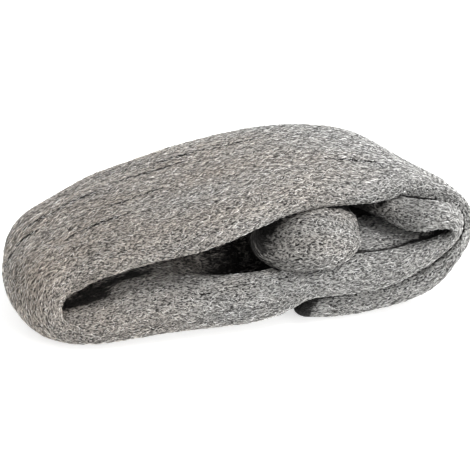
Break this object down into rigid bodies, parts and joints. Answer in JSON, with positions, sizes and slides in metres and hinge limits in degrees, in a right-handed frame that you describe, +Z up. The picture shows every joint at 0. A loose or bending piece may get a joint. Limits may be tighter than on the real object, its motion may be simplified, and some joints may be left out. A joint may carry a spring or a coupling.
{
  "type": "steel wool bundle",
  "caption": "Bundle of steel wool: one long batt of fine steel fibres wound flat on itself, with its inner end bulging out of the open side.",
  "frame": {"origin": "on the surface the bundle lies on, under the middle of its length and width", "axes": "+X along the bundle, towards the end that is wound twice; -Y out of the open side where the wad shows; +Z up"},
  "size_m": [0.237, 0.1062, 0.0713],
  "materials": {
    "steel_wool": "fine steel fibres, bright one by one and a dull grey as a mass"
  },
  "bodies": {
    "root": {"wool_batt": "steel_wool"}
  },
  "joints": []
}
